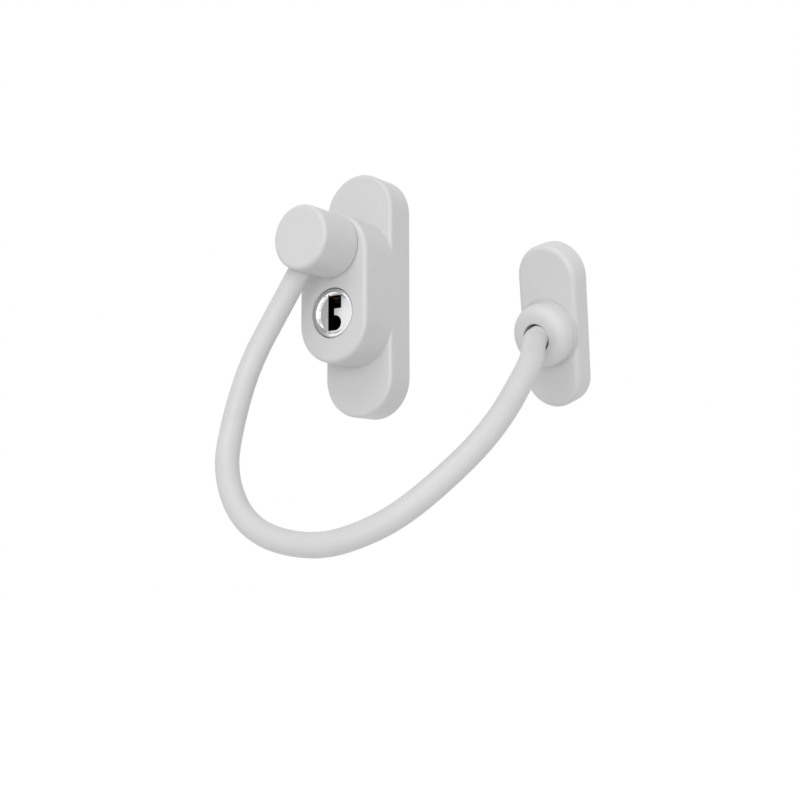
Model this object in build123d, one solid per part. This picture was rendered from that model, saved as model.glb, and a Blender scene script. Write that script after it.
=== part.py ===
from build123d import *
import math
import os

# Cable window restrictor: a key-locked body, a plug-in knob on a 200 mm cable, and a fixed anchor.
# Millimetres. The lock's back lies on the plane Y = 0, its front looks along -Y and +Z is up.
# "Depth" is the distance in front of that plane, so a depth of 5 is Y = -5.

# Driving dimensions of the lock's white cover
plate_length = 70.0
plate_width = 22.9
plate_depth = 9.2
plate_edge_round = 1.1
housing_length = 41.6
total_depth = 21.2
housing_edge_round = 1.2
cover_wall = 1.7
cover_gap = 0.15
snap_rib_height = 0.35
snap_rib_length = 7.0
snap_rib_depth = 1.6
snap_rib_inset = 6.0

# Driving dimensions of the knob, its pin and the cable
knob_z = 11.6
knob_diameter = 17.9
knob_length = 14.3
knob_gap = 0.2
knob_front_wall = 2.6
knob_side_wall = 2.4
knob_front_round = 1.2
knob_back_round = 0.4
knob_ring_thickness = 1.1
pin_diameter = 8.0
pin_flange_diameter = 12.4
pin_flange_thickness = 2.0
pin_neck_diameter = 5.0
pin_tip_chamfer = 0.7
pin_neck_gap = 0.6
cable_diameter = 6.3
knob_ferrule_diameter = 7.9
knob_ferrule_length = 8.4
cable_setback_in_knob = 7.8
cable_run_out_of_anchor = 10.0
cable_bend_share = 0.45

# Driving dimensions of the key cylinder
cylinder_z = -6.9
cylinder_face_diameter = 13.7
cylinder_face_recess = 0.4
cylinder_face_chamfer = 0.3
cylinder_lip_diameter = 11.0
cylinder_lip_thickness = 0.8
barrel_diameter = 14.5
plug_diameter = 11.6
plug_wall_behind_keyway = 1.6
keyway_height = 9.8
keyway_rise = 0.15
keyway_slot_width = 2.1
keyway_side_width = 2.4
keyway_ward_height = 1.9
keyway_ward_top = 1.2
keyway_overlap = 0.4
wafer_count = 4
wafer_thickness = 0.9
wafer_width = 7.0
wafer_window_width = 5.4
wafer_window_height = 7.6
wafer_window_steps = (0.3, -0.2, 0.1, -0.3)
wafer_travel = 0.6
wafer_lug_width = 1.1
wafer_lug_height = 0.8
wafer_lug_drop = 1.1
wafer_spring_length = 1.9
wafer_spring_diameter = 0.8
wafer_spring_wire = 0.18
wafer_spring_turns = 4
spring_end_gap = 0.05

# Driving dimensions of the latch and the crank that drives it
crank_radius = 3.2
crank_diameter = 9.8
crank_thickness = 1.6
crank_pin_diameter = 2.0
key_turn_angle = 90.0
yoke_clearance = 0.2
yoke_slot_length = 3.9
latch_width = 11.0
latch_thickness = 1.8
latch_foot_wall = 2.0
latch_foot_round = 1.5
latch_tip_clearance = 0.2
fork_clearance = 0.15
fork_spare_depth = 1.0
tail_diameter = 4.0
tail_flat = 0.8

# Driving dimensions of the lock's base casting and the keeper that closes its back
base_plate_thickness = 3.2
screw_inset = 7.5
screw_hole_diameter = 4.3
screw_head_diameter = 8.4
keeper_thickness = 3.4
keeper_width = 13.6
keeper_end_margin = 2.2
keeper_top_wall = 1.75
keeper_corner = 3.5
keeper_tongue_width = 5.0
keeper_tongue_length = 1.0
keeper_tongue_depth = 1.0
keeper_tongue_thickness = 1.2
keeper_gap = 0.1
keeper_floor = 1.2
keeper_screw_diameter = 1.8
keeper_screw_head_diameter = 3.2
keeper_screw_length = 5.6
keeper_screw_inset = 2.6
keeper_screw_spread = 6.8
keeper_screw_slot = 0.5
barrel_dowel_diameter = 1.2
barrel_dowel_length = 2.4
barrel_dowel_bite = 0.7
barrel_dowel_wall = 0.35

# Driving dimensions of the anchor, and its place beside the lock
anchor_length = 46.0
anchor_width = 18.4
anchor_plate_depth = 6.1
anchor_edge_round = 1.5
anchor_boss_diameter = 17.6
anchor_boss_depth = 11.8
anchor_boss_z = -1.4
anchor_boss_rim_round = 3.2
anchor_boss_foot_round = 0.6
anchor_boss_inner_step = 0.6
anchor_hole_diameter = 8.2
anchor_wall = 1.5
anchor_rib_inset = 4.8
anchor_rib_depth = 1.4
anchor_rib_length = 5.0
anchor_screw_inset = 9.0
anchor_screw_hole_diameter = 4.2
anchor_screw_head_diameter = 7.8
anchor_base_thickness = 3.0
anchor_ferrule_diameter = 10.4
anchor_ferrule_length = 4.8
anchor_ferrule_depth = 1.0
ferrule_chamfer = 0.8
anchor_washer_thickness = 0.8
anchor_socket_gap = 0.3
anchor_cable_gap = 0.7
anchor_aside = 50.6
anchor_setback = 16.6
anchor_drop = 9.4
anchor_tilts = (23.1, 8.9, -9.1)

# Clearances shared by the fits
running_fit = 0.06
loose_fit = 0.1
hole_gap = 0.25

# Sizes worked out from the driving ones
cover_inner_width = plate_width - 2 * cover_wall
base_width = cover_inner_width - 2 * cover_gap
base_length = plate_length - 2 * (cover_wall + cover_gap)
block_length = housing_length - 2 * (cover_wall + cover_gap)
block_depth = total_depth - cover_wall - cover_gap
channel_floor = keeper_thickness + 2 * loose_fit + latch_thickness
latch_depth = keeper_thickness + loose_fit
crank_depth = channel_floor + loose_fit
barrel_back = crank_depth + crank_thickness + loose_fit
barrel_front = block_depth - loose_fit
face_front = total_depth - cylinder_face_recess
lip_back = face_front - cylinder_lip_thickness
plug_front = lip_back - running_fit
keyway_back = barrel_back + plug_wall_behind_keyway
dowel_room = barrel_dowel_diameter + 2 * barrel_dowel_wall
wafers_front = barrel_front - dowel_room
wafer_pitch = (wafers_front - keyway_back) / wafer_count
half_turn = math.radians(key_turn_angle / 2)
latch_travel = 2 * crank_radius * math.sin(half_turn)
crank_pin_x = crank_radius * math.cos(half_turn)
crank_pin_z = cylinder_z - crank_radius * math.sin(half_turn)
neck_back = latch_depth - pin_neck_gap
neck_front = latch_depth + latch_thickness + pin_neck_gap
pin_tip_depth = keeper_floor + hole_gap
knob_back = total_depth + knob_gap
knob_front = knob_back + knob_length
knob_cavity_radius = knob_diameter / 2 - knob_side_wall
ring_front = knob_back + knob_ring_thickness
flange_back = ring_front + running_fit
flange_front = flange_back + pin_flange_thickness
wafer_outer_radius = plug_diameter / 2 - running_fit
wafer_pocket_x = wafer_width / 2 + wafer_lug_width / 2
fork_half_width = pin_neck_diameter / 2 + fork_clearance
fork_centre_z = knob_z - latch_travel - fork_spare_depth
latch_tip_z = knob_z - pin_diameter / 2 - latch_tip_clearance
latch_foot_z = crank_pin_z - crank_pin_diameter / 2 - yoke_clearance - latch_foot_wall
channel_bottom_z = latch_foot_z - loose_fit
channel_top_z = latch_tip_z + latch_travel + loose_fit
keeper_bottom_z = channel_bottom_z - keeper_screw_inset - keeper_end_margin
keeper_top_z = knob_z + pin_diameter / 2 + hole_gap + keeper_top_wall
keeper_screw_z = channel_bottom_z - keeper_screw_inset
screw_spacing = plate_length - 2 * screw_inset
snap_rib_z = (plate_length - plate_width) / 2 - snap_rib_inset
cable_depth_at_knob = knob_back + cable_setback_in_knob
anchor_screw_spacing = anchor_length - 2 * anchor_screw_inset
anchor_rib_z = (anchor_length - anchor_width) / 2 - anchor_rib_inset
anchor_place = Location((anchor_aside, anchor_setback, -anchor_drop), anchor_tilts)


def front(depth, x=0.0, z=0.0):
    """A drawing plane that looks along -Y at a depth: its axes are the model's X and Z."""
    return Plane(origin=(x, -depth, z), x_dir=(1, 0, 0), z_dir=(0, -1, 0))


def layer(sketch, back, front_depth, x=0.0, z=0.0):
    """A flat sketch made solid from one depth to another."""
    return extrude(front(back, x, z) * sketch, amount=front_depth - back)


def disc(diameter, back, front_depth, x=0.0, z=0.0):
    return layer(Circle(diameter / 2), back, front_depth, x, z)


def pill(length, width, back, front_depth, z=0.0):
    """A plate with straight sides and round ends, standing upright."""
    return layer(SlotOverall(length, width, rotation=90), back, front_depth, 0, z)


def block(x_low, x_high, z_low, z_high, back, front_depth):
    sketch = Rectangle(x_high - x_low, z_high - z_low)
    return layer(sketch, back, front_depth, (x_low + x_high) / 2, (z_low + z_high) / 2)


def front_edges(solid):
    return solid.faces().sort_by(Axis.Y)[0].edges()


def back_edges(solid):
    return solid.faces().sort_by(Axis.Y)[-1].edges()


def countersunk_hole(diameter, head_diameter, back, front_depth, x=0.0, z=0.0):
    """The space of a screw hole whose 90 degree countersink opens at the front depth."""
    sink = (head_diameter - diameter) / 2
    profile = Polyline(
        (0, -back), (diameter / 2, -back), (diameter / 2, sink - front_depth),
        (head_diameter / 2, -front_depth), (0, -front_depth), close=True,
    )
    return Pos(x, 0, z) * revolve(make_face(profile), Axis.Y)


def snap_ribs(length_between, half_width, depth, height, rib_length, grow=0.0):
    """Four low ridges inside the long sides of a cover, two a side, as half-round bars along Z."""
    ribs = []
    for side in (-1, 1):
        for z in (-length_between, length_between):
            bar = Cylinder(height + grow, rib_length + 2 * grow)
            ribs.append(Pos(side * half_width, -depth, z) * bar)
    return ribs


# The white cover: a round-ended plate with a deeper round-ended housing flush with its sides
def lock_cover():
    plate = pill(plate_length, plate_width, 0, plate_depth)
    plate = fillet(front_edges(plate), plate_edge_round)
    housing = pill(housing_length, plate_width, 0, total_depth)
    housing = fillet(front_edges(housing), housing_edge_round)
    outside = plate + housing
    inner_length = plate_length - 2 * cover_wall
    inner_housing = housing_length - 2 * cover_wall
    inside = pill(inner_length, cover_inner_width, 0, plate_depth - cover_wall)
    inside += pill(inner_housing, cover_inner_width, 0, total_depth - cover_wall)
    shell = outside - inside
    shell -= disc(pin_diameter + 2 * hole_gap, 0, total_depth + 1, z=knob_z)
    shell -= disc(cylinder_face_diameter + 2 * hole_gap, 0, total_depth + 1, z=cylinder_z)
    ribs = snap_ribs(snap_rib_z, cover_inner_width / 2,
                     snap_rib_depth, snap_rib_height, snap_rib_length)
    for rib in ribs:
        shell += rib
    return shell


# The zinc base: screwed to the window frame, it carries the cylinder, the latch and the pin's bore
def lock_base():
    base = pill(base_length, base_width, 0, base_plate_thickness)
    base += pill(block_length, base_width, 0, block_depth)
    for z in (-screw_spacing / 2, screw_spacing / 2):
        base -= countersunk_hole(screw_hole_diameter, screw_head_diameter, 0, base_plate_thickness, z=z)
    base -= keeper_recess()
    base -= keeper_tongue(loose_fit)
    base -= block(-latch_width / 2 - loose_fit, latch_width / 2 + loose_fit,
                  channel_bottom_z, channel_top_z, keeper_thickness, channel_floor)
    base -= disc(barrel_diameter + loose_fit, keeper_thickness, total_depth, z=cylinder_z)
    base -= disc(pin_diameter + 2 * running_fit, keeper_floor, total_depth, z=knob_z)
    grooves = snap_ribs(snap_rib_z, cover_inner_width / 2,
                        snap_rib_depth, snap_rib_height, snap_rib_length, grow=cover_gap)
    for groove in grooves:
        base -= groove
    for x in keeper_screw_places():
        base -= disc(keeper_screw_diameter + loose_fit, 0, keeper_screw_length + loose_fit, x, keeper_screw_z)
    base -= barrel_dowel(loose_fit)
    return base


def keeper_outline(shrink):
    width = keeper_width - 2 * shrink
    height = keeper_top_z - keeper_bottom_z - 2 * shrink
    return RectangleRounded(width, height, keeper_corner - shrink)


def keeper_recess():
    middle = (keeper_top_z + keeper_bottom_z) / 2
    return layer(keeper_outline(0), 0, keeper_thickness, 0, middle)


def keeper_tongue(gap):
    """The tongue at the keeper's top, or with a gap the slot behind the base's lip that it hooks into."""
    half = keeper_tongue_width / 2 + gap
    return block(-half, half, keeper_top_z - keeper_corner, keeper_top_z + keeper_tongue_length + gap,
                 keeper_tongue_depth - gap, keeper_tongue_depth + keeper_tongue_thickness + gap)


def keeper_screw_places():
    return (-keeper_screw_spread / 2, keeper_screw_spread / 2)


# The keeper: a steel plate let into the back of the base, which holds the latch in its channel
def latch_keeper():
    middle = (keeper_top_z + keeper_bottom_z) / 2
    keeper = layer(keeper_outline(keeper_gap), 0, keeper_thickness - loose_fit / 2, 0, middle)
    keeper += keeper_tongue(0)
    keeper -= disc(pin_diameter + 2 * hole_gap, keeper_floor, keeper_thickness, z=knob_z)
    for x in keeper_screw_places():
        keeper -= keeper_screw(x, loose_fit)
    return keeper


def keeper_screw(x, gap):
    """A small countersunk screw driven from the back, or with a gap the space it goes through."""
    radius = keeper_screw_diameter / 2 + gap / 2
    head = keeper_screw_head_diameter / 2 + gap
    length = keeper_screw_length
    profile = Polyline(
        (0, 0), (head, 0), (radius, radius - head), (radius, -length), (0, -length), close=True,
    )
    return Pos(x, 0, keeper_screw_z) * revolve(make_face(profile), Axis.Y)


def keeper_screws():
    screws = []
    for x in keeper_screw_places():
        slot = block(x - keeper_screw_head_diameter, x + keeper_screw_head_diameter,
                     keeper_screw_z - keeper_screw_slot / 2, keeper_screw_z + keeper_screw_slot / 2,
                     0, keeper_screw_slot)
        screws.append(keeper_screw(x, 0) - slot)
    return Compound(children=screws)


# The latch: a steel fork that the key raises round the neck of the knob's pin
def latch():
    body = block(-latch_width / 2, latch_width / 2, latch_foot_z, latch_tip_z,
                 latch_depth, latch_depth + latch_thickness)
    fork = disc(2 * fork_half_width, latch_depth, latch_depth + latch_thickness, z=fork_centre_z)
    fork += block(-fork_half_width, fork_half_width, fork_centre_z, latch_tip_z + 1,
                  latch_depth, latch_depth + latch_thickness)
    body -= fork
    yoke_height = crank_pin_diameter + 2 * yoke_clearance
    yoke_middle = (crank_pin_x + crank_radius) / 2
    body -= layer(SlotOverall(yoke_slot_length, yoke_height), latch_depth, latch_depth + latch_thickness,
                  yoke_middle, crank_pin_z)
    corners = body.edges().filter_by(Axis.Y).group_by(Axis.Z)
    return fillet(corners[0], latch_foot_round)


# The cylinder's barrel: its chromed rim shows in the cover, and a lip there keeps the plug in.
# Four grooves inside take the wafers when they spring out.
def barrel():
    rim = disc(cylinder_face_diameter, barrel_front, face_front, z=cylinder_z)
    rim -= disc(cylinder_lip_diameter, barrel_front, face_front, z=cylinder_z)
    body = disc(barrel_diameter, barrel_back, barrel_front, z=cylinder_z)
    body += chamfer(front_edges(rim), cylinder_face_chamfer)
    body -= disc(plug_diameter + 2 * running_fit, barrel_back, lip_back, z=cylinder_z)
    groove_width = wafer_width + 2 * loose_fit
    groove_height = 2 * (wafer_outer_radius + wafer_travel + loose_fit)
    cross = Rectangle(groove_width, groove_height) + Rectangle(groove_height, groove_width)
    room = cross & Circle(wafer_outer_radius + wafer_travel + loose_fit)
    body -= layer(room, keyway_back, wafers_front, z=cylinder_z)
    return body - barrel_dowel(loose_fit / 2)


def barrel_dowel(gap=0.0):
    """A dowel driven in from the side that stops the barrel from turning or moving."""
    inner = barrel_diameter / 2 - barrel_dowel_bite
    depth = barrel_front - dowel_room / 2
    length = barrel_dowel_length + 2 * gap
    dowel = Rot(0, 90, 0) * Cylinder(barrel_dowel_diameter / 2 + gap, length)
    return Pos(inner + barrel_dowel_length / 2, -depth, cylinder_z) * dowel


def wafer_depth(index):
    """The depth of a wafer's back, with the wafers spread evenly along the keyway."""
    return keyway_back + index * wafer_pitch + (wafer_pitch - wafer_thickness) / 2


def keyway():
    """The key's opening: a tall slot on the left, and on the right two pockets with a ward between."""
    slot_left = -(keyway_slot_width + keyway_side_width) / 2
    slot_right = slot_left + keyway_slot_width
    right = slot_right + keyway_side_width
    half = keyway_height / 2
    outline = Pos((slot_left + slot_right) / 2, 0) * Rectangle(keyway_slot_width, keyway_height)
    upper_height = half - keyway_ward_top
    upper = Rectangle(keyway_side_width + keyway_overlap, upper_height)
    outline += Pos((slot_right + right - keyway_overlap) / 2, keyway_ward_top + upper_height / 2) * upper
    lower_top = keyway_ward_top - keyway_ward_height
    lower = Polyline((slot_right - keyway_overlap, -half), (slot_right, -half))
    bow = ThreePointArc((slot_right, -half), (right, (lower_top - half) / 2), (slot_right, lower_top))
    close = Polyline((slot_right, lower_top), (slot_right - keyway_overlap, lower_top),
                     (slot_right - keyway_overlap, -half))
    outline += make_face([lower, bow, close])
    return outline


# The cylinder's plug: it turns in the barrel behind the lip, and its chromed face has the keyway
def plug():
    body = disc(plug_diameter, barrel_back, plug_front, z=cylinder_z)
    tail = disc(tail_diameter, crank_depth, barrel_back, z=cylinder_z)
    flat_top = cylinder_z + tail_diameter / 2 - tail_flat
    tail -= block(-tail_diameter, tail_diameter, flat_top, flat_top + tail_diameter, crank_depth, barrel_back)
    body += tail
    body -= layer(keyway(), keyway_back, face_front, z=cylinder_z + keyway_rise)
    for index in range(wafer_count):
        back = wafer_depth(index) - loose_fit / 2
        end = back + wafer_thickness + loose_fit
        half = wafer_width / 2 + loose_fit / 2
        body -= block(-half, half, cylinder_z - plug_diameter, cylinder_z + plug_diameter, back, end)
        body -= block(half - loose_fit, wafer_pocket_x + wafer_lug_width / 2 + loose_fit,
                      lug_floor(), lug_top() + wafer_spring_length, back, end)
    return body


def lug_top():
    return cylinder_z - wafer_lug_drop + wafer_lug_height / 2


def lug_floor():
    """The pocket's floor lies below the lug by the wafer's travel."""
    return cylinder_z - wafer_lug_drop - wafer_lug_height / 2 - wafer_travel - loose_fit


# The wafers: brass plates across the plug with a window for the key and a lug for their spring
def wafer(index):
    back = wafer_depth(index)
    end = back + wafer_thickness
    outline = Rectangle(wafer_width, plug_diameter) & Circle(wafer_outer_radius)
    bridge = wafer_window_steps[index % len(wafer_window_steps)]
    outline -= Pos(0, bridge) * Rectangle(wafer_window_width, wafer_window_height)
    plate = layer(outline, back, end, z=cylinder_z)
    lug_low = cylinder_z - wafer_lug_drop - wafer_lug_height / 2
    plate += block(wafer_width / 2 - loose_fit, wafer_width / 2 + wafer_lug_width,
                   lug_low, lug_top(), back, end)
    return plate


def wafer_spring(index):
    """A coil spring between the top of the plug's pocket and the wafer's lug."""
    middle = wafer_depth(index) + wafer_thickness / 2
    height = wafer_spring_length - wafer_spring_wire - 2 * spring_end_gap
    coil_radius = (wafer_spring_diameter - wafer_spring_wire) / 2
    path = Helix(height / wafer_spring_turns, height, coil_radius)
    section = Plane(origin=path @ 0, z_dir=path % 0) * Circle(wafer_spring_wire / 2)
    base = lug_top() + spring_end_gap + wafer_spring_wire / 2
    return Pos(wafer_pocket_x, -middle, base) * sweep(section, path=path, is_frenet=True)


# The crank, peened onto the flat of the plug's tail, whose pin runs in the latch's slot
def crank():
    body = disc(crank_diameter, crank_depth, crank_depth + crank_thickness, z=cylinder_z)
    hole = disc(tail_diameter + 2 * running_fit, crank_depth, crank_depth + crank_thickness, z=cylinder_z)
    flat_top = cylinder_z + tail_diameter / 2 - tail_flat + running_fit
    hole -= block(-tail_diameter, tail_diameter, flat_top, flat_top + tail_diameter,
                  crank_depth, crank_depth + crank_thickness)
    body -= hole
    return body + disc(crank_pin_diameter, latch_depth + loose_fit, crank_depth, crank_pin_x, crank_pin_z)


# The knob: a moulded cup, open at the back, with a hole in its side for the cable
def knob():
    cup = disc(knob_diameter, knob_back, knob_front, z=knob_z)
    cup = fillet(front_edges(cup), knob_front_round)
    cup = fillet(back_edges(cup), knob_back_round)
    cup -= disc(2 * knob_cavity_radius, knob_back, knob_front - knob_front_wall, z=knob_z)
    side = cable_exit_frame()
    cup -= extrude(side * Circle(cable_diameter / 2 + hole_gap), amount=knob_diameter)
    cup -= extrude(side * Circle(knob_ferrule_diameter / 2 + loose_fit), amount=-knob_ferrule_length)
    return cup


def cable_exit_frame():
    """The plane of the cable's inner end, which faces outwards along its first run."""
    direction = Vector(*cable_points[1]) - Vector(*cable_points[0])
    return Plane(origin=cable_points[0], z_dir=direction)


def knob_ferrule():
    return extrude(cable_exit_frame() * Circle(knob_ferrule_diameter / 2), amount=-knob_ferrule_length)


def knob_ring():
    """A steel ring pressed into the knob's back, which holds the pin by its flange."""
    ring = disc(2 * knob_cavity_radius, knob_back, ring_front, z=knob_z)
    return ring - disc(pin_diameter + 2 * running_fit, knob_back, ring_front, z=knob_z)


# The pin: turned steel with a flange that the knob swivels on and a neck that the latch grips
def knob_pin():
    radius = pin_diameter / 2
    neck = pin_neck_diameter / 2
    tip = pin_tip_depth
    flange = pin_flange_diameter / 2
    profile = Polyline(
        (0, -tip), (radius - pin_tip_chamfer, -tip), (radius, -tip - pin_tip_chamfer),
        (radius, -neck_back), (neck, -neck_back), (neck, -neck_front), (radius, -neck_front),
        (radius, -flange_back), (flange, -flange_back), (flange, -flange_front), (0, -flange_front),
        close=True,
    )
    return Pos(0, 0, knob_z) * revolve(make_face(profile), Axis.Y)


# The anchor's pieces are drawn as if upright on the plane Y = 0 and then put in their place
def anchor_cover():
    plate = pill(anchor_length, anchor_width, 0, anchor_plate_depth)
    plate = fillet(front_edges(plate), anchor_edge_round)
    radius = anchor_boss_diameter / 2
    rim = anchor_boss_rim_round
    foot = anchor_boss_foot_round
    foot_depth = anchor_plate_depth
    side = Polyline((radius + foot, 0), (radius + foot, -foot_depth))
    flare = RadiusArc((radius + foot, -foot_depth), (radius, -foot_depth - foot), -foot)
    wall = Polyline((radius, -foot_depth - foot), (radius, -anchor_boss_depth + rim))
    shoulder = RadiusArc((radius, -anchor_boss_depth + rim), (radius - rim, -anchor_boss_depth), rim)
    close = Polyline((radius - rim, -anchor_boss_depth), (0, -anchor_boss_depth), (0, 0), (radius + foot, 0))
    boss = revolve(make_face([side, flare, wall, shoulder, close]), Axis.Y)
    boss = Pos(0, 0, anchor_boss_z) * boss
    boss = boss & pill(anchor_length, anchor_width, 0, anchor_boss_depth)
    shell = plate + boss
    inner_width = anchor_width - 2 * anchor_wall
    shell -= pill(anchor_length - 2 * anchor_wall, inner_width, 0, anchor_plate_depth - anchor_wall)
    shell -= disc(anchor_boss_diameter - 2 * anchor_wall - anchor_boss_inner_step, 0,
                  anchor_boss_depth - anchor_wall, z=anchor_boss_z)
    shell -= disc(anchor_hole_diameter, 0, anchor_boss_depth + 1, z=anchor_boss_z)
    ribs = snap_ribs(anchor_rib_z, inner_width / 2, anchor_rib_depth, snap_rib_height, anchor_rib_length)
    for rib in ribs:
        shell += rib
    return shell


# The anchor's base: a zinc plate with two screw holes and a socket that the cable's end turns in
def anchor_base():
    length = anchor_length - 2 * (anchor_wall + cover_gap)
    width = anchor_width - 2 * (anchor_wall + cover_gap)
    socket_diameter = anchor_boss_diameter - 2 * anchor_wall - anchor_boss_inner_step - 2 * cover_gap
    socket_front = anchor_boss_depth - anchor_wall - cover_gap
    base = pill(length, width, 0, anchor_base_thickness)
    base += disc(socket_diameter, 0, socket_front, z=anchor_boss_z)
    base -= disc(anchor_ferrule_diameter + 2 * anchor_socket_gap, 0, washer_front() + loose_fit,
                 z=anchor_boss_z)
    base -= disc(cable_diameter + 2 * anchor_cable_gap, 0, socket_front, z=anchor_boss_z)
    for z in (-anchor_screw_spacing / 2, anchor_screw_spacing / 2):
        base -= countersunk_hole(anchor_screw_hole_diameter, anchor_screw_head_diameter,
                                 0, anchor_base_thickness, z=z)
    inner_half = anchor_width / 2 - anchor_wall
    grooves = snap_ribs(anchor_rib_z, inner_half, anchor_rib_depth, snap_rib_height, anchor_rib_length,
                        grow=cover_gap)
    for groove in grooves:
        base -= groove
    return base


def ferrule_front():
    return anchor_ferrule_depth + anchor_ferrule_length


def washer_front():
    return ferrule_front() + running_fit + anchor_washer_thickness


def anchor_washer():
    """A nylon washer between the ferrule and the socket's shoulder."""
    back = ferrule_front() + running_fit
    ring = disc(anchor_ferrule_diameter + anchor_socket_gap, back, washer_front(), z=anchor_boss_z)
    return ring - disc(cable_diameter + anchor_cable_gap, back, washer_front(), z=anchor_boss_z)


def anchor_ferrule():
    body = disc(anchor_ferrule_diameter, anchor_ferrule_depth, ferrule_front(), z=anchor_boss_z)
    return chamfer(back_edges(body), ferrule_chamfer)


def in_anchor(depth):
    """A point on the axis of the anchor's socket, at a depth in front of the anchor's back."""
    point = anchor_place * Pos(0, -depth, anchor_boss_z)
    return tuple(point.position)


# The cable's route, from the ferrule in the knob round one open loop to the ferrule in the anchor
cable_points = [
    (-3.5, -cable_depth_at_knob, knob_z - 5.6),
    (-11.5, -cable_depth_at_knob, knob_z - 16.6),
    (-17.1, -34.8, -20.4),
    (-15.6, -43.0, -35.7),
    (-12.4, -50.5, -52.3),
    (0.2, -54.8, -66.7),
    (20.0, -53.9, -71.0),
    (35.8, -50.8, -66.4),
    (45.6, -45.0, -58.9),
    (53.7, -34.7, -48.2),
    (58.5, -16.2, -26.4),
    in_anchor(ferrule_front() + cable_run_out_of_anchor),
    in_anchor(ferrule_front()),
]


def cable():
    points = [Vector(*point) for point in cable_points]
    runs = [after - before for before, after in zip(points, points[1:])]
    radii = []
    for before, after in zip(runs, runs[1:]):
        half_angle = math.radians(before.get_angle(after)) / 2
        radii.append(cable_bend_share * min(before.length, after.length) / math.tan(half_angle))
    path = FilletPolyline(*points, radius=radii)
    section = Plane(origin=points[0], z_dir=runs[0]) * Circle(cable_diameter / 2)
    tube = sweep(section, path=path)
    expected = path.length * math.pi * cable_diameter ** 2 / 4
    print("cable radii", [round(radius, 1) for radius in radii])
    print("cable length", round(path.length, 1))
    print("cable volume", round(tube.volume, 1), "expected", round(expected, 1))
    return tube


def write(name, solid, place=Location()):
    solid = place * solid
    solid.label = name
    export_step(solid, f"parts/{name}.step")


os.makedirs("parts", exist_ok=True)
write("lock_cover", lock_cover())
write("lock_base", lock_base())
write("latch_keeper", latch_keeper())
write("keeper_screws", keeper_screws())
write("latch", latch())
write("barrel", barrel())
write("barrel_dowel", barrel_dowel())
write("plug", plug())
write("crank", crank())
for number in range(wafer_count):
    write(f"wafer_{number + 1}", wafer(number))
    write(f"wafer_spring_{number + 1}", wafer_spring(number))
write("knob", knob())
write("knob_ring", knob_ring())
write("knob_pin", knob_pin())
write("knob_ferrule", knob_ferrule())
write("cable", cable())
write("anchor_ferrule", anchor_ferrule(), anchor_place)
write("anchor_cover", anchor_cover(), anchor_place)
write("anchor_base", anchor_base(), anchor_place)
write("anchor_washer", anchor_washer(), anchor_place)
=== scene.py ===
import bmesh
import bpy
import math
from mathutils import Matrix, Vector


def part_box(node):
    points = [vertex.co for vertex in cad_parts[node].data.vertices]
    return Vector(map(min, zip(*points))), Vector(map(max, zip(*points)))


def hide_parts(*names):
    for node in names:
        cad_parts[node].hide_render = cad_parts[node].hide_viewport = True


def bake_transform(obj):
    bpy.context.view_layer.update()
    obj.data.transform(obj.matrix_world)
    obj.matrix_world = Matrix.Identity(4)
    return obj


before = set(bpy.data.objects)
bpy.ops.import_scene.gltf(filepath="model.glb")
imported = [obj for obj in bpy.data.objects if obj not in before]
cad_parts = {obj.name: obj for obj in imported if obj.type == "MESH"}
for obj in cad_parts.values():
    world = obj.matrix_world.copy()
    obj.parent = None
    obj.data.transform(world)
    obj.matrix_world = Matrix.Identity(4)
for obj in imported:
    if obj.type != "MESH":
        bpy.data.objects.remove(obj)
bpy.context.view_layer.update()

# The lock's base is a zinc pressure die casting. It is screwed to the window's frame through its two
# ends, and carries the key cylinder, the latch and the bore for the knob's pin. Its skin has grey flow
# marks from the die, and its flat back is linished bright in one direction.
zinc_light = (0.46, 0.47, 0.49, 1.0)
zinc_shade = (0.30, 0.31, 0.33, 1.0)
linished_light = (0.62, 0.63, 0.65, 1.0)
linished_shade = (0.44, 0.45, 0.47, 1.0)
linished_depth = 0.00015


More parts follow.
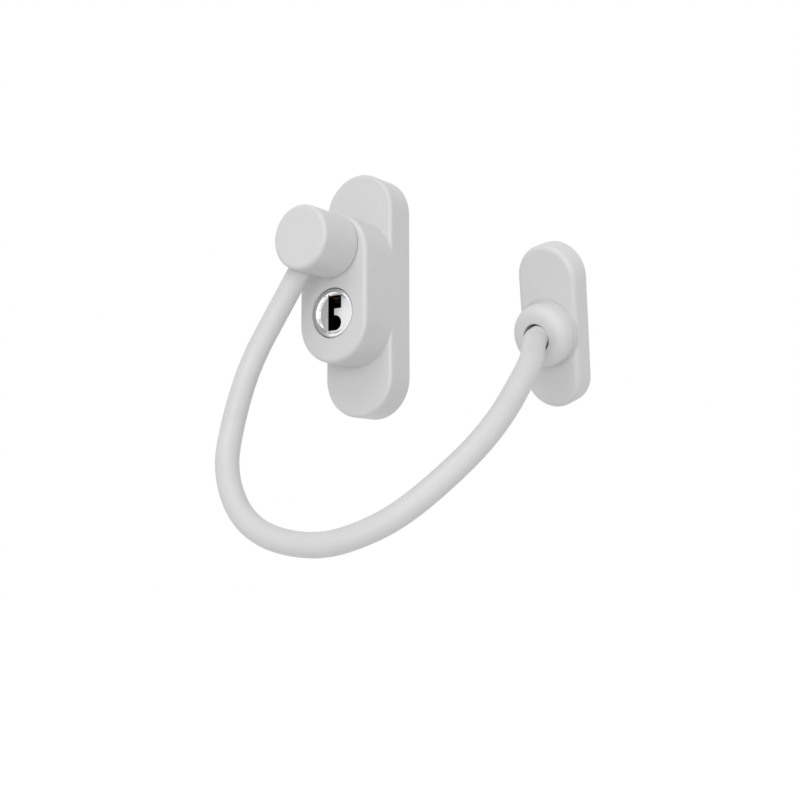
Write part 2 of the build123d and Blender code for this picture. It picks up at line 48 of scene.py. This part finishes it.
class Channel:
    """One output of a shader node. Sums and products of channels and numbers add Math nodes."""

    def __init__(self, socket):
        self.socket = socket

    def node(self, kind, settings, values, output=0):
        """Adds a node of that kind beside this one and gives one of its outputs."""
        tree = self.socket.id_data
        added = tree.nodes.new(kind)
        for name, value in settings.items():
            setattr(added, name, value)
        for name, value in values.items():
            if isinstance(value, Channel):
                tree.links.new(value.socket, added.inputs[name])
            else:
                added.inputs[name].default_value = value
        return Channel(added.outputs[output])

    def math(self, operation, first, second=0.0, clamp=False):
        settings = {"operation": operation, "use_clamp": clamp}
        return self.node("ShaderNodeMath", settings, {0: first, 1: second})

    def __add__(self, other):
        return self.math("ADD", self, other)

    def __radd__(self, other):
        return self.math("ADD", other, self)

    def __sub__(self, other):
        return self.math("SUBTRACT", self, other)

    def __rsub__(self, other):
        return self.math("SUBTRACT", other, self)

    def __mul__(self, other):
        return self.math("MULTIPLY", self, other)

    def __rmul__(self, other):
        return self.math("MULTIPLY", other, self)

    def past(self, limit, over):
        """0 below the limit, 1 above it by more than that distance, and a ramp between."""
        return self.math("DIVIDE", self - limit, over, clamp=True)

    def blend(self, first, second):
        """A colour that goes from the first to the second as this channel goes from 0 to 1."""
        settings = {"data_type": "RGBA"}
        return self.node("ShaderNodeMix", settings, {0: self, 6: first, 7: second}, output=2)

    def axis(self, letter):
        """One of this place's three distances."""
        return self.node("ShaderNodeSeparateXYZ", {}, {"Vector": self}, output=letter)

    def noise(self, scale, detail=2.0, distortion=0.0):
        """Smooth noise round 0.5 over this place, with scale features to the metre."""
        values = {"Vector": self, "Scale": scale, "Detail": detail, "Distortion": distortion}
        return self.node("ShaderNodeTexNoise", {}, values)

    def stretch(self, along_x, along_y, along_z):
        """This place scaled by a Mapping node. A small share draws a pattern out along its axis."""
        return self.node("ShaderNodeMapping", {}, {"Vector": self, "Scale": (along_x, along_y, along_z)})

    def seen_from(self, origin, turn):
        """This place as measured from an origin whose axes are turned."""
        values = {"Vector": self, "Location": origin, "Rotation": turn}
        return self.node("ShaderNodeMapping", {"vector_type": "TEXTURE"}, values)

    def from_axis(self, along_x, along_z):
        """How far this place is from the line along Y that stands at those two distances."""
        flat = self.seen_from((along_x, 0.0, along_z), (0.0, 0.0, 0.0)).stretch(1.0, 0.0, 1.0)
        return flat.node("ShaderNodeVectorMath", {"operation": "LENGTH"}, {0: flat}, output="Value")

    def rings(self, scale):
        """Noise that changes with this distance alone, such as a lathe leaves round a middle."""
        return self.node("ShaderNodeTexNoise", {"noise_dimensions": "1D"}, {"W": self, "Scale": scale})

    def bump(self):
        """A normal for a surface that is raised by this height in metres."""
        return self.node("ShaderNodeBump", {}, {"Height": self, "Distance": 1.0, "Strength": 1.0})


def new_material(name, **steady):
    """A material and its shader, with the steady values set, and the place on the piece as a channel."""
    material = bpy.data.materials.new(name)
    material.use_nodes = True
    shader = material.node_tree.nodes["Principled BSDF"]
    for socket, value in steady.items():
        shader.inputs[socket.replace("_", " ")].default_value = value
    coordinates = material.node_tree.nodes.new("ShaderNodeTexCoord")
    return material, shader, Channel(coordinates.outputs["Object"])


def feed(shader, **channels):
    """Joins channels to the shader's sockets of those names."""
    for socket, channel in channels.items():
        shader.id_data.links.new(channel.socket, shader.inputs[socket.replace("_", " ")])


def dress(material, *names):
    """Gives that material to CAD nodes."""
    for name in names:
        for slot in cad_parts[name].material_slots:
            slot.material = material


def casting_skin(place):
    """A casting's flow marks and fine pebbling, and the colour and roughness that they give it."""
    flow = place.noise(170.0, detail=4.0, distortion=1.2)
    pebble = place.noise(1500.0, detail=3.0)
    return flow, pebble, flow.blend(zinc_shade, zinc_light), 0.38 + pebble * 0.26


def cast_zinc(shader, place):
    """A casting's skin, with straight linishing lines on the flat back."""
    flow, pebble, skin, skin_roughness = casting_skin(place)
    lines = place.stretch(1.0, 1.0, 0.015).noise(9000.0)
    back = place.axis("Y").past(-linished_depth, linished_depth / 2)
    line_roughness = 0.24 + lines * 0.22
    skin_height = pebble * 0.000018 + flow * 0.00003
    feed(
        shader,
        Base_Color=back.blend(skin, lines.blend(linished_shade, linished_light)),
        Roughness=skin_roughness + back * (line_roughness - skin_roughness),
        Normal=(skin_height + back * (lines * 0.000004 - skin_height)).bump(),
    )


zinc, shader, place = new_material("zinc", Metallic=1.0)
cast_zinc(shader, place)
dress(zinc, "lock_base")

# The latch is a fork blanked from steel sheet, bright zinc-plated. The keeper is a thicker plate of the
# same steel that closes the latch's channel from behind. The sheet's rolling lines run along the lock.
plate_bright = (0.60, 0.61, 0.63, 1.0)
plate_dull = (0.45, 0.46, 0.49, 1.0)


def plated_sheet(shader, place):
    """Rolling lines along Z under a plating that is cloudy in patches."""
    lines = place.stretch(1.0, 1.0, 0.02).noise(5200.0, detail=3.0)
    cloud = place.noise(230.0, detail=3.0, distortion=0.6)
    feed(
        shader,
        Base_Color=cloud.blend(plate_dull, plate_bright),
        Roughness=0.16 + cloud * 0.16 + lines * 0.14,
        Normal=(lines * 0.000005 + cloud * 0.00001).bump(),
    )


sheet_steel, shader, place = new_material("sheet_steel", Metallic=1.0)
plated_sheet(shader, place)
dress(sheet_steel, "latch", "latch_keeper")

# Two small countersunk screws hold the keeper. They are machined from bar, so each head has fine rings
# round its own middle, and the plating has dulled a little in the slots.
screw_spread = 0.0068
screw_height = (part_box("keeper_screws")[0][2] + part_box("keeper_screws")[1][2]) / 2
screw_steel = (0.62, 0.61, 0.58, 1.0)
screw_slot_steel = (0.30, 0.29, 0.27, 1.0)
screw_slot_depth = 0.0004
screw_slot_edge = 0.0001

plated_screw, shader, place = new_material("plated_screw", Metallic=1.0)
either_side = place.node("ShaderNodeVectorMath", {"operation": "ABSOLUTE"}, {0: place})
turning = either_side.from_axis(screw_spread / 2, -screw_height).rings(9000.0)
face = place.axis("Y").past(-screw_slot_depth, screw_slot_edge)
feed(
    shader,
    Base_Color=face.blend(screw_slot_steel, screw_steel),
    Roughness=0.2 + turning * 0.2,
    Normal=(turning * 0.000006).bump(),
)
dress(plated_screw, "keeper_screws")

# The cylinder's barrel is a zinc casting too, held in a bore of the base. Only its front rim shows in
# the cover, and that is turned and plated in bright nickel-chrome.
chrome_bright = (0.88, 0.885, 0.89, 1.0)
rim_depth = -0.0194
rim_edge = 0.0001

rimmed_zinc, shader, place = new_material("rimmed_zinc", Metallic=1.0)
chromed = 1.0 - place.axis("Y").past(rim_depth, rim_edge)
haze = place.noise(800.0)
flow, pebble, skin, skin_roughness = casting_skin(place)
feed(
    shader,
    Base_Color=chromed.blend(skin, chrome_bright),
    Roughness=skin_roughness + chromed * (0.07 + haze * 0.08 - skin_roughness),
    Normal=((1.0 - chromed) * pebble * 0.000018).bump(),
)
dress(rimmed_zinc, "barrel")

# A plain dowel of hardened steel goes into the barrel's side and keeps it in the base. It was ground
# along its length after hardening, which has left it grey with fine lines.
hardened_shade = (0.34, 0.34, 0.36, 1.0)
hardened_light = (0.46, 0.46, 0.48, 1.0)

hardened, shader, place = new_material("hardened_steel", Metallic=1.0)
temper = place.noise(900.0)
lines = place.stretch(0.02, 1.0, 1.0).noise(7000.0)
feed(
    shader,
    Base_Color=temper.blend(hardened_shade, hardened_light),
    Roughness=0.2 + lines * 0.2,
    Normal=(lines * 0.000004).bump(),
)
dress(hardened, "barrel_dowel")

# The plug is brass with a chromed face, polished in rings round its middle. Its keyway goes back through
# four slots for the wafers, and its walls are near black, from graphite and grease and from painted
# shade.
plug_brass = (0.40, 0.29, 0.13, 1.0)
graphite_and_painted_shade = (0.018, 0.017, 0.016, 1.0)
cylinder_height = -0.0069
plug_face_depth = -0.0199
plug_face_edge = 0.00006
keyway_reach = 0.0052
keyway_edge = 0.0003

plug_metal, shader, place = new_material("plug_metal", Metallic=1.0)
chromed = 1.0 - place.axis("Y").past(plug_face_depth, plug_face_edge)
across = place.from_axis(0.0, cylinder_height)
rings = across.rings(5200.0)
smear = place.noise(1300.0, detail=3.0)
outside = across.past(keyway_reach, keyway_edge)
# Painted shade: inside the keyway's reach the plug is near black, partly graphite.
body = outside.blend(graphite_and_painted_shade, plug_brass)
feed(
    shader,
    Base_Color=chromed.blend(body, chrome_bright),
    Roughness=0.55 - outside * 0.2 + chromed * (rings * 0.06 + smear * 0.12 - 0.4 + outside * 0.2),
    Normal=(chromed * rings * 0.0000006).bump(),
)
dress(plug_metal, "plug")

# Four wafers are stamped from brass sheet. The key slides through their windows, whose edges are black
# with graphite and painted shade, while the ends that stand in the barrel's grooves keep their colour.
wafer_brass = (0.52, 0.39, 0.17, 1.0)
wafer_tarnish = (0.24, 0.17, 0.08, 1.0)
window_reach = 0.0049
window_edge = 0.0004

stamped_brass, shader, place = new_material("stamped_brass", Metallic=1.0)
tarnish = place.noise(700.0, detail=4.0)
# Painted shade: inside the windows' reach the wafers are near black, partly graphite.
clean = place.from_axis(0.0, cylinder_height).past(window_reach, window_edge)
feed(
    shader,
    Base_Color=clean.blend(graphite_and_painted_shade, tarnish.blend(wafer_tarnish, wafer_brass)),
    Roughness=0.5 - clean * 0.2 + tarnish * 0.15,
    Normal=(tarnish * 0.000008).bump(),
)
dress(stamped_brass, "wafer_1", "wafer_2", "wafer_3", "wafer_4")

# Each wafer has a coil spring under its lug. The springs are wound from stainless wire, and drawing
# the wire has left it bright with darker specks.
wire_speck = (0.30, 0.29, 0.28, 1.0)
wire_bright = (0.50, 0.49, 0.47, 1.0)

spring_wire, shader, place = new_material("spring_wire", Metallic=1.0)
drawn = place.noise(9000.0)
feed(
    shader,
    Base_Color=drawn.blend(wire_speck, wire_bright),
    Roughness=0.22 + drawn * 0.16,
)
dress(spring_wire, "wafer_spring_1", "wafer_spring_2", "wafer_spring_3", "wafer_spring_4")

# The crank is peened onto the plug's tail. It is the same plated sheet as the latch, and its disc has
# a ring worn bright where it rubs on the channel's floor.
rub_radius = 0.0036
rub_edge = 0.0004
rubbed_bright = (0.68, 0.68, 0.69, 1.0)

crank_steel, shader, place = new_material("crank_steel", Metallic=1.0)
rubbed = place.from_axis(0.0, cylinder_height).past(rub_radius, rub_edge)
lines = place.stretch(1.0, 1.0, 0.02).noise(5200.0, detail=3.0)
cloud = place.noise(400.0, detail=3.0)
feed(
    shader,
    Base_Color=rubbed.blend(cloud.blend(plate_dull, plate_bright), rubbed_bright),
    Roughness=0.3 + lines * 0.16 - rubbed * 0.12,
    Normal=(lines * 0.000005).bump(),
)
dress(crank_steel, "crank")

# The lock's cover is moulded in white plastic. It snaps over the base's four grooves and hides its
# screws. The mould leaves a satin grain too fine to feel, over walls that are very slightly uneven.
cover_white = (0.70, 0.70, 0.70, 1.0)
cover_shade = (0.67, 0.67, 0.672, 1.0)


def moulded(shader, place, white, shade):
    """Satin grain over faint sink marks, with a slow drift in the white, which it gives back."""
    drift = place.noise(70.0, distortion=0.4).blend(shade, white)
    sink = place.noise(110.0, detail=1.0)
    patch = place.noise(650.0, detail=3.0)
    grain = place.noise(5600.0)
    feed(
        shader,
        Base_Color=drift,
        Roughness=0.33 + patch * 0.1,
        Normal=(grain * 0.000012 + sink * 0.00003).bump(),
    )
    return drift


cover_plastic, shader, place = new_material("white_cover", IOR=1.5)
moulded(shader, place, cover_white, cover_shade)
dress(cover_plastic, "lock_cover")

# The knob's pin is turned from steel bar and swivels in the knob on its flange, which a steel ring
# pressed into the knob's back holds. The ferrule crimped on the cable in the knob is turned too. The
# lathe's tool has left fine rings on all three.
turned_bright = (0.60, 0.60, 0.61, 1.0)
turned_shade = (0.47, 0.47, 0.49, 1.0)


def turned(shader, place):
    """Tool marks round the Y axis, and a little haze."""
    tool = place.stretch(0.0, 1.0, 0.0).noise(4200.0, detail=3.0)
    haze = place.noise(380.0, detail=3.0)
    feed(
        shader,
        Base_Color=haze.blend(turned_shade, turned_bright),
        Roughness=0.14 + tool * 0.16 + haze * 0.08,
        Normal=(tool * 0.000009).bump(),
    )


turned_steel, shader, place = new_material("turned_steel", Metallic=1.0)
turned(shader, place)
dress(turned_steel, "knob_pin", "knob_ring", "knob_ferrule")

# The knob is a cap with a hole in its side for the cable. It is moulded in the cover's plastic and has
# the same satin grain, with its white set a touch lighter.
knob_white = (0.71, 0.71, 0.71, 1.0)
knob_shade = (0.685, 0.685, 0.687, 1.0)

knob_plastic, shader, place = new_material("white_knob", IOR=1.5)
moulded(shader, place, knob_white, knob_shade)
dress(knob_plastic, "knob")

# The cable is a steel rope in a smooth white PVC sheath, extruded onto it a little unevenly. It leaves
# the knob's side, hangs in one open loop and ends in the anchor's boss.
cable_diameter = 0.0063
cable_route = [
    (-0.0035, -0.0292, 0.0060),
    (-0.0115, -0.0292, -0.0050),
    (-0.0171, -0.0348, -0.0204),
    (-0.0156, -0.0430, -0.0357),
    (-0.0124, -0.0505, -0.0523),
    (0.0002, -0.0548, -0.0667),
    (0.0200, -0.0539, -0.0710),
    (0.0358, -0.0508, -0.0664),
    (0.0456, -0.0450, -0.0589),
    (0.0559268, -0.0306966, -0.0432573),
    (0.0577493, -0.0147359, -0.0257408),
    (0.0528643, -0.0031685, -0.0193241),
    (0.0484632, 0.0054863, -0.0145473),
    (0.0494771, 0.0118192, -0.0127886),
]
sheath_white = (0.70, 0.70, 0.70, 1.0)
sheath_shade = (0.655, 0.655, 0.657, 1.0)

route = bpy.data.curves.new("cable_line", "CURVE")
route.dimensions = "3D"
spline = route.splines.new("NURBS")
spline.points.add(len(cable_route) - 1)
for point, spot in zip(spline.points, cable_route):
    point.co = (*spot, 1.0)
spline.order_u = 3
spline.use_endpoint_u = True
route.resolution_u = 14
route_object = bpy.data.objects.new("cable_line", route)
centreline = [vertex.co.copy() for vertex in bpy.data.meshes.new_from_object(route_object).vertices]
route.bevel_depth = cable_diameter / 2
route.bevel_resolution = 10
route.use_fill_caps = True
cable = bpy.data.objects.new("cable_sheath", bpy.data.meshes.new_from_object(route_object))
bpy.data.objects.remove(route_object)
bpy.context.scene.collection.objects.link(cable)
cable.data.shade_smooth()

sheath, shader, place = new_material("white_sheath", IOR=1.5)
drift = place.noise(150.0)
patch = place.noise(800.0, detail=3.0)
skin = place.noise(3000.0)
feed(
    shader,
    Base_Color=drift.blend(sheath_shade, sheath_white),
    Roughness=0.34 + patch * 0.1,
    Normal=(skin * 0.000012 + patch * 0.00002).bump(),
)
cable.data.materials.clear()
cable.data.materials.append(sheath)
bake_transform(cable)
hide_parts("cable")

# The anchor is screwed to the opening sash, turned a little away from the lock. Its base is a smaller
# zinc casting, with the same skin and the same linished back as the lock's.
anchor_spot = (0.0506, 0.0166, -0.0094)
anchor_turn = (
    Matrix.Rotation(math.radians(23.1), 3, "X")
    @ Matrix.Rotation(math.radians(8.9), 3, "Y")
    @ Matrix.Rotation(math.radians(-9.1), 3, "Z")
).to_euler()

anchor_zinc, shader, place = new_material("anchor_zinc", Metallic=1.0)
cast_zinc(shader, place.seen_from(anchor_spot, anchor_turn))
dress(anchor_zinc, "anchor_base")

# The ferrule crimped on this end of the cable turns in the socket of the anchor's base. It is turned
# from steel bar like the knob's pin.
anchor_steel, shader, place = new_material("anchor_steel", Metallic=1.0)
turned(shader, place.seen_from(anchor_spot, anchor_turn))
dress(anchor_steel, "anchor_ferrule")

# A washer punched from natural nylon sheet lies in front of the ferrule, so that steel doesn't wear
# the socket. The nylon is milky and slightly yellow.
nylon_shade = (0.70, 0.68, 0.61, 1.0)
nylon_light = (0.77, 0.75, 0.69, 1.0)

nylon, shader, place = new_material("nylon", Subsurface_Weight=0.2, Subsurface_Scale=0.001)
milky = place.noise(420.0, detail=3.0)
feed(
    shader,
    Base_Color=milky.blend(nylon_shade, nylon_light),
    Roughness=0.42 + milky * 0.16,
)
dress(nylon, "anchor_washer")

# The anchor's cover is moulded like the lock's and snaps over its base, with a boss round the cable. The
# corner round the boss's foot is darkened with painted shade.
boss_height = -0.0014
boss_radius = 0.0088
plate_face = -0.0061
# Painted light: both whites are set lighter than the lock cover's, to brighten the anchor's face.
anchor_lightened_white = (0.725, 0.725, 0.725, 1.0)
anchor_lightened_shade = (0.695, 0.695, 0.697, 1.0)
corner_shade_reach = 0.0012
painted_corner_shade = (0.55, 0.55, 0.55, 1.0)

anchor_plastic, shader, place = new_material("white_anchor_cover", IOR=1.5)
place = place.seen_from(anchor_spot, anchor_turn)
white = moulded(shader, place, anchor_lightened_white, anchor_lightened_shade)
# Painted shade: the colour darkens in a ring where the boss's foot meets the plate's face.
near_boss = 1.0 - place.from_axis(0.0, boss_height).past(boss_radius, corner_shade_reach)
off_plate = place.axis("Y") - plate_face
near_plate = 1.0 - off_plate.math("ABSOLUTE", off_plate).past(0.0, corner_shade_reach)
feed(shader, Base_Color=(near_boss * near_plate).blend(white, painted_corner_shade))
dress(anchor_plastic, "anchor_cover")

# The camera stands at arm's length, a little below the lock and to its right, and looks up at it
# through a lens that takes in 37 degrees across the square picture.
camera_aim = Vector((0.0038159, 0.0063038, -0.0289647))
camera_distance = 0.348667
camera_azimuth = 0.6013347
camera_elevation = -0.1045468
camera_roll = -0.0020873
camera_lens = 54.0
camera_sensor = 36.0
camera_clip = 0.01


def direction(azimuth, elevation):
    """A unit vector turned to the right from straight in front of the lock, and then up, in radians."""
    level = math.cos(elevation)
    return Vector((math.sin(azimuth) * level, -math.cos(azimuth) * level, math.sin(elevation)))


backwards = direction(camera_azimuth, camera_elevation)
right = Vector((math.cos(camera_azimuth), math.sin(camera_azimuth), 0.0))
upright = Matrix((right, backwards.cross(right), backwards)).transposed()
camera = bpy.data.objects.new("camera", bpy.data.cameras.new("camera"))
camera.data.lens = camera_lens
camera.data.sensor_width = camera_sensor
camera.rotation_mode = "QUATERNION"
camera.rotation_quaternion = (upright @ Matrix.Rotation(camera_roll, 3, "Z")).to_quaternion()
camera.location = camera_aim + backwards * camera_distance
camera.data.clip_start = camera_clip
bpy.context.scene.collection.objects.link(camera)
bpy.context.scene.camera = camera

# The studio has a pale floor well below the lock and a white surround, both seen as plain white. Soft
# lamps stand in front, high in front and at the right, each at an azimuth and an elevation in degrees
# and with a power in watts.
floor_height = -0.35
floor_size = 8.0
floor_white = (0.75, 0.75, 0.75, 1.0)
floor_unlit = (0.0, 0.0, 0.0, 1.0)
floor_glow = (0.55, 0.55, 0.55, 1.0)
surround_white = (1.0, 1.0, 1.0, 1.0)
surround_level = 0.6
lamp_distance = 1.5
lamp_size = 0.7
lamps = {"front_lamp": (15.0, 5.0, 3.6), "high_lamp": (15.0, 48.0, 4.0), "side_lamp": (50.0, 10.0, 2.7)}


def seen_by(tree, *rays):
    """1 for rays of those kinds and 0 for all others."""
    path = tree.nodes.new("ShaderNodeLightPath")
    first, *others = [Channel(path.outputs[f"Is {ray} Ray"]) for ray in rays]
    for other in others:
        first = first + other
    return first


square = bmesh.new()
bmesh.ops.create_grid(square, x_segments=1, y_segments=1, size=floor_size / 2,
                      matrix=Matrix.Translation((0.0, 0.0, floor_height)))
floor_mesh = bpy.data.meshes.new("floor")
square.to_mesh(floor_mesh)
square.free()
floor = bpy.data.objects.new("floor", floor_mesh)
bpy.context.scene.collection.objects.link(floor)
floor_paint, shader, place = new_material("floor_paint", Base_Color=floor_white, Roughness=1.0,
                                          Emission_Strength=1.0)
seen = seen_by(shader.id_data, "Camera", "Glossy")
feed(shader, Emission_Color=seen.blend(floor_unlit, floor_glow))
floor_mesh.materials.append(floor_paint)

surround = bpy.data.worlds.new("surround")
surround.use_nodes = True
bpy.context.scene.world = surround
backdrop = surround.node_tree.nodes["Background"]
backdrop.inputs["Color"].default_value = surround_white
seen = seen_by(surround.node_tree, "Camera", "Glossy", "Transmission")
feed(backdrop, Strength=surround_level + seen * (1.0 - surround_level))

for name, (azimuth, elevation, power) in lamps.items():
    lamp = bpy.data.objects.new(name, bpy.data.lights.new(name, "AREA"))
    lamp.data.energy = power
    lamp.data.size = lamp_size
    away = direction(math.radians(azimuth), math.radians(elevation))
    lamp.location = camera_aim + away * lamp_distance
    lamp.rotation_mode = "QUATERNION"
    lamp.rotation_quaternion = away.to_track_quat("Z", "Y")
    bpy.context.scene.collection.objects.link(lamp)

bpy.context.scene.view_settings.view_transform = "Standard"
